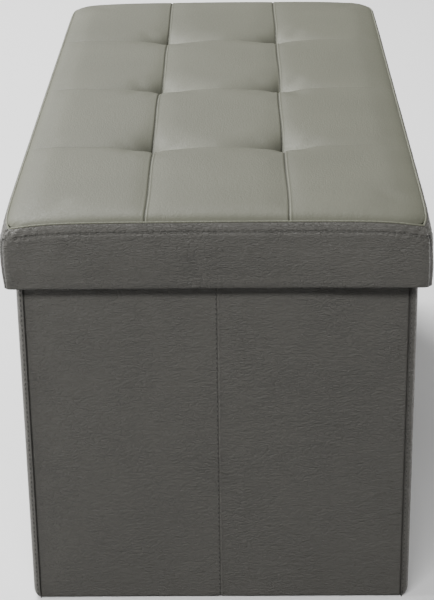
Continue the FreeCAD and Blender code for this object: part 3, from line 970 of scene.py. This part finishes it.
def make_panels():
    """The skins of the six panels, and the cores of the two walls."""
    for side, out, foot in (("left", -1, 9), ("right", 1, 11)):
        wall = f"{side}_wall"
        panel_skin(wall + "_skin", wall, wall + "_cover", 1, out, foot, 5.6, 0, 11)
        core = foot - 0.5
        panel_skin(wall + "_core", wall, wall + "_board", 1, out, core, 4.8, 0, 11, True)
    seed = 20
    for end, out in (("front", -1), ("rear", 1)):
        for side, corner, crease in (("left", 0.5, 1), ("right", 1.5, -1)):
            body = f"{end}_{side}_end"
            skin, cover = body + "_skin", body + "_cover"
            panel_skin(skin, body, cover, 0, out, 2.2, corner, crease, seed)
            seed += 1


def body_stitches():
    """Stitches down both end creases and in the four corner grooves."""
    face = abs(node_box("front_left_end_cover")[0][1])
    groove = WALL_END - 0.35
    top, bottom = 352.0, 5.0
    levels = [bottom + i * STITCH for i in range(int((top - bottom) / STITCH))]
    corners = (("left", -176.8, 2.8, 0.40), ("right", 175.2, 3.5, 0.6))
    rng = random.Random(8)
    for end, out in (("front", -1), ("rear", 1)):
        places = []
        for z in levels:
            point = (-0.9 + rng.uniform(-0.1, 0.1), out * face, z)
            places.append((point, (0, 0, 1), (0, out, 0)))
        name, body = f"{end}_crease_stitches", f"{end}_left_end"
        stitches(name, places, body, dark_thread, 2.9, 0.42, 0.05, 9)
        for side, x, length, width in corners:
            slant = (math.copysign(0.3, x), out, 0)
            places = [((x, out * groove, z), (0, 0, 1), slant) for z in levels]
            name, body = f"{end}_{side}_corner_stitches", f"{side}_wall"
            stitches(name, places, body, dark_thread, length, width, 0, 10)


# ---- the floor inside
def soft_slab(name, node, low, high, radius, material, slot, dent, seed):
    """A slab with soft edges round the middle, with a lengthwise crease of depth dent.
    It lies on the floor of the body, which rides with the left wall."""
    xs = spaced(low[0], high[0], 8, 1.2, [(low[0], 4), (high[0], 4), (0, 8)])
    ys = spaced(low[1], high[1], 9, 1.2, [(low[1], 4), (high[1], 4)])
    x, y = np.meshgrid(xs, ys)
    x, y = rounded(x, y, (high[0] - low[0]) / 2, (high[1] - low[1]) / 2, radius)
    side = np.minimum(high[0] - np.abs(x), high[1] - np.abs(y)).clip(0)
    edge = radius * 0.25 * decay(side, 1.5)
    ripple = np.minimum(wave_field(x, y, 0, 60, seed) * 0.35, 0.0)
    top = high[2] - edge - dent * bell(x, 3.5) + ripple
    under = low[2] + edge * 0.5 + dent * 0.3 * bell(x, 3.0)
    layers = [np.stack([x, y, z], axis=2).reshape(-1, 3) for z in (top, under)]
    points, faces = np.concatenate(layers), sheet_faces(*x.shape)
    return make_object(name, points, faces, material, "left_wall", slot, node)


def make_floor():
    """The creased floor in its sleeve, its two boards and the bottom cloth."""
    node = "base_sleeve"
    low, high = node_box(node)
    finish = (3.0, sleeve_cloth, "sleeve_cloth", 1.6, 31)
    pieces = [soft_slab("floor_sleeve", node, low, high, *finish)]
    for side in ("left", "right"):
        node = f"base_board_{side}"
        low, high = node_box(node)
        middle, half = (low + high) / 2, (high - low) / 2
        low = np.array([-half[0], -half[1], low[2] + 0.3])
        high = np.array([half[0], half[1], high[2] - 0.8])
        finish = (2.0, fibreboard, "fibreboard", 0.0, 33)
        leaf = soft_slab(f"floor_board_{side}", node, low, high, *finish)
        leaf.data.transform(Matrix.Translation((middle[0] * MM, 0, 0)))
        pieces.append(leaf)
    pieces.append(cloth_sheet("under_cloth", "bottom_cloth", "left_wall", 41, 0, 0.3))
    for piece in pieces:
        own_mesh(piece)


# ---- linings and hinges
def cloth_sheet(name, node, body, seed, free, ripple):
    """A thin closed cloth in the flat box of a CAD node.

    free is the direction that its loose face looks in, along its thin axis: 1 or -1,
    or 0 where both faces are loose. ripple is how far the loose face rises."""
    low, high = node_box(node)
    thin = int(np.argmin(high - low))
    a, b = [axis for axis in range(3) if axis != thin]
    us = spaced(low[a], high[a], 8.0, 1.2, [(low[a], 3), (high[a], 3)])
    vs = spaced(low[b], high[b], 8.0, 1.2, [(low[b], 3), (high[b], 3)])
    u, v = np.meshgrid(us, vs)
    side = np.minimum(
        np.minimum(u - low[a], high[a] - u), np.minimum(v - low[b], high[b] - v)
    )
    waves = wave_field(u, v * 0.6, 0, 48, seed) + 0.4 * wave_field(u, v, 3, 17, seed)
    rise = ripple * (0.45 + 0.5 * waves).clip(0, 1) * (1 - decay(side, 10.0))
    frayed = 0.12 * (high[thin] - low[thin]) * decay(side, 0.8)
    upper = high[thin] - frayed + (rise if free >= 0 else 0)
    lower = low[thin] + frayed + (rise if free == 0 else -rise if free < 0 else 0)
    half = u.size
    points = np.zeros((2 * half, 3))
    points[:, a], points[:, b] = np.tile(u.ravel(), 2), np.tile(v.ravel(), 2)
    points[:half, thin] = upper.ravel()
    points[half:, thin] = lower.ravel()
    faces = sheet_faces(*u.shape)
    if thin == 1:
        faces = flipped(faces)
    obj = make_object(name, points, faces, lining_cloth, body, "lining_cloth", node)
    return obj


def make_linings():
    """The black cloth on the panels' inner faces and under the lid."""
    panels = [("left_wall", 1), ("right_wall", -1)]
    panels += [("front_left_end", 1), ("front_right_end", 1)]
    panels += [("rear_left_end", -1), ("rear_right_end", -1)]
    for seed, (body, free) in enumerate(panels, 50):
        cloth_sheet(body + "_inner_cloth", body + "_lining", body, seed, free, 0.35)
    cloth_sheet("lid_under_cloth", "lid_lining", "lid", 61, -1, 0.8)


def make_hem():
    """The skirt's turned-in edge on the rails' inner faces, pinched at each staple."""
    low, high = node_box("lid_skirt_hem")
    staple_low, staple_high = node_box("lid_staples")
    staple_z = (staple_low[2] + staple_high[2]) / 2
    points, marks = outline(2.6, 0.6, 2.0, high[0], high[1], 1.2)
    result = []
    for x, y, nx, ny in points:
        # the cut edge wanders, and the cloth puffs out between the staples
        ragged = high[2] - 1.4 - 1.0 * wave(x, y, 0, 22, 71)
        gap = 40
        if abs(nx) > 0.7:
            gap = abs((y / STAPLE_STEP + 1) % 1 - 0.5) * STAPLE_STEP
        ring = [(-0.02, low[2]), (-0.02, (low[2] + ragged) / 2), (-0.02, ragged)]
        for share in np.linspace(1, 0, 12):
            z = low[2] + (ragged - low[2]) * share
            pinch = dip(gap, 9.0) * dip(z - staple_z, 6.0)
            puff = 0.26 * (0.5 + 0.5 * wave(x, y, z * 2, 30, 72)) * math.sin(math.pi * share)
            ring.append((-0.68 - puff * (1 - pinch), z))
        result.append([(x + nx * off, y + ny * off, z) for off, z in ring])
    result = np.array(result)
    faces = grid_faces(*result.shape[:2], True, True)
    finish = (side_leather, "lid", "side_leatherette")
    plain = np.zeros(result.shape[:2])
    make_object("turned_hem", result, faces, *finish, "lid_skirt_hem", plain)


def hinge_strip(name, node, line, thick, seed):
    """A folded strip of cloth as tall as a CAD tape; its section follows line."""
    low, high = node_box(node)
    line = np.array(line)
    along = np.gradient(line, axis=0)
    along /= np.linalg.norm(along, axis=1, keepdims=True)
    across = np.stack([-along[:, 1], along[:, 0]], axis=1) * thick / 2
    ring = np.concatenate([line + across, (line - across)[::-1]])
    levels = np.linspace(low[2], high[2], 60)
    points = []
    for z in levels:
        lean = 0.03 * wave(0, 0, z, 12, seed)
        points += [(x + lean * 0.3, y + lean, z) for x, y in ring]
    count = len(ring)
    faces = grid_faces(len(levels), count, False, True)
    last = (len(levels) - 1) * count
    for k in range(len(line) - 1):
        cap = (k, k + 1, count - 2 - k, count - 1 - k)
        faces.append(tuple(reversed(cap)))
        faces.append(tuple(last + i for i in cap))
    following = np.roll(ring, -1, axis=0)
    if np.sum(ring[:, 0] * following[:, 1] - following[:, 0] * ring[:, 1]) < 0:
        faces = flipped(faces)
    finish = (seam_leather, "left_wall", "hinge_tape")
    return make_object(name, points, faces, *finish, node, np.zeros(len(points)))


def bend(strip):
    """Take a strip off its body, and bake its place into its points."""
    strip.parent = None
    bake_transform(strip)


def fold(half, mouth, deep, radius, out):
    """The section of a folded strip: two flat sides from mouth to deep along Y, half
    apart from the middle, joined by a round fold."""
    turn = [math.pi * k / 8 for k in range(1, 8)]
    line = [(half, out * y) for y in np.linspace(mouth, deep, 8)]
    line += [(half * math.cos(a), out * (deep + radius * math.sin(a))) for a in turn]
    return line + [(-half, out * y) for y in np.linspace(deep, mouth, 8)]


def make_hinges():
    """The cloth hinges: a fold open to the outside at each corner of the body, and
    one open to the inside at each end's crease."""
    groove = 173.25
    for end, out in (("front", -1), ("rear", 1)):
        for side, sign in (("left", -1), ("right", 1)):
            corner = f"{end}_{side}_corner"
            section = fold(sign * 0.37, 379.9, 373.9, -0.37, out)
            line = [(sign * groove + x, y) for x, y in section]
            strip = hinge_strip(corner + "_hinge", corner + "_tape", line, 0.44, 80)
            # the loop of panels is opened at the rear right corner
            if corner == "rear_right_corner":
                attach(strip, "right_wall")
            else:
                bend(strip)
        line = fold(-0.5, 374.2, 379.3, 0.3, out)
        strip = hinge_strip(f"{end}_crease_hinge", f"{end}_crease_tape", line, 0.3, 90)
        bend(strip)


# ---- CAD nodes that stay
def finish_nodes():
    """Better materials for the hard CAD pieces, which keep their shapes."""
    for name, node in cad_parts.items():
        material = side_leather
        if name.endswith("_rail"):
            material = softwood
        elif name.endswith("_board"):
            material = fibreboard
        elif name == "tuft_anchors":
            material = plastic
        elif name == "lid_staples":
            material = steel
        node.data.materials.clear()
        node.data.materials.append(material)


# ---- the studio
def studio():
    """A pale floor, a pale backdrop behind it, and four soft lamps."""
    reach = 6
    corners = [(-reach, -reach, 0), (reach, -reach, 0), (reach, reach, 0), (-reach, reach, 0)]
    mesh = bpy.data.meshes.new("studio_floor")
    mesh.from_pydata(corners, [], [(0, 1, 2, 3)])
    floor = add_object("studio_floor", mesh)
    material, _, shader = new_material("pale_floor")
    put(shader, Base_Color=(0.86, 0.86, 0.86, 1), Roughness=0.9)
    mesh.materials.append(material)
    floor.visible_diffuse = False  # its bounce would wash out the shade under the lid
    world = bpy.data.worlds.new("studio")
    bpy.context.scene.world = world
    world.use_nodes = True
    tree = world.node_tree
    soft = tree.nodes["Background"]
    backdrop = tree.nodes.new("ShaderNodeBackground")
    for node, strength in ((soft, 0.09), (backdrop, 0.62)):
        put(node, Color=(1, 1, 1, 1), Strength=strength)
    rays = tree.nodes.new("ShaderNodeLightPath")
    mix = tree.nodes.new("ShaderNodeMixShader")
    tree.links.new(rays.outputs["Is Camera Ray"], mix.inputs[0])
    tree.links.new(soft.outputs[0], mix.inputs[1])
    tree.links.new(backdrop.outputs[0], mix.inputs[2])
    tree.links.new(mix.outputs[0], tree.nodes["World Output"].inputs["Surface"])
    # name, place, aim, width, height and power
    lamps = (
        ("key", (-1.45, 2.15, 3.2), (0, 0, 0.3), 1.85, 1.85, 284),
        ("fill", (-0.4, -2.8, 3.1), (0, -0.4, 0.2), 2.4, 0.8, 138),
        ("side", (-2.6, -0.42, 0.7), (0, -0.3, 0.2), 0.7, 0.7, 84),
        ("low_side", (2.4, 0.25, 0.2), (0, 0.1, 0.2), 1.2, 0.34, 40),
    )
    for name, place, aim, wide, tall, power in lamps:
        lamp = bpy.data.lights.new(name, "AREA")
        lamp.shape = "RECTANGLE"
        lamp.size, lamp.size_y, lamp.energy = wide, tall, power
        obj = add_object(name, lamp)
        obj.location = place
        obj.rotation_mode = "QUATERNION"
        obj.rotation_quaternion = (Vector(aim) - Vector(place)).to_track_quat("-Z", "Y")


def camera():
    """The photograph's viewing angle: close to a short end, from above."""
    place = (0.02476, -1.85885, 0.95629)
    yaw, pitch, roll = -0.01744, 0.40365, -0.01384
    data = bpy.data.cameras.new("camera")
    data.lens, data.sensor_width = 107.73, 36.0
    data.shift_x, data.shift_y = 0.002567, -0.019867
    data.clip_start, data.clip_end = 0.05, 60
    level = math.cos(pitch)
    forward = Vector((level * math.sin(yaw), level * math.cos(yaw), -math.sin(pitch)))
    right = forward.cross(Vector((0, 0, 1))).normalized()
    up = right.cross(forward)
    c, s = math.cos(roll), math.sin(roll)
    matrix = Matrix((right * c + up * s, up * c - right * s, -forward))
    matrix = matrix.transposed().to_4x4()
    matrix.translation = Vector(place)
    obj = add_object("camera", data)
    obj.matrix_world = matrix
    bpy.context.scene.camera = obj


finish_nodes()
make_pad()
make_cords()
make_skirt()
make_welt()
lid_stitches()
make_panels()
body_stitches()
make_floor()
make_linings()
make_hem()
make_hinges()
studio()
camera()
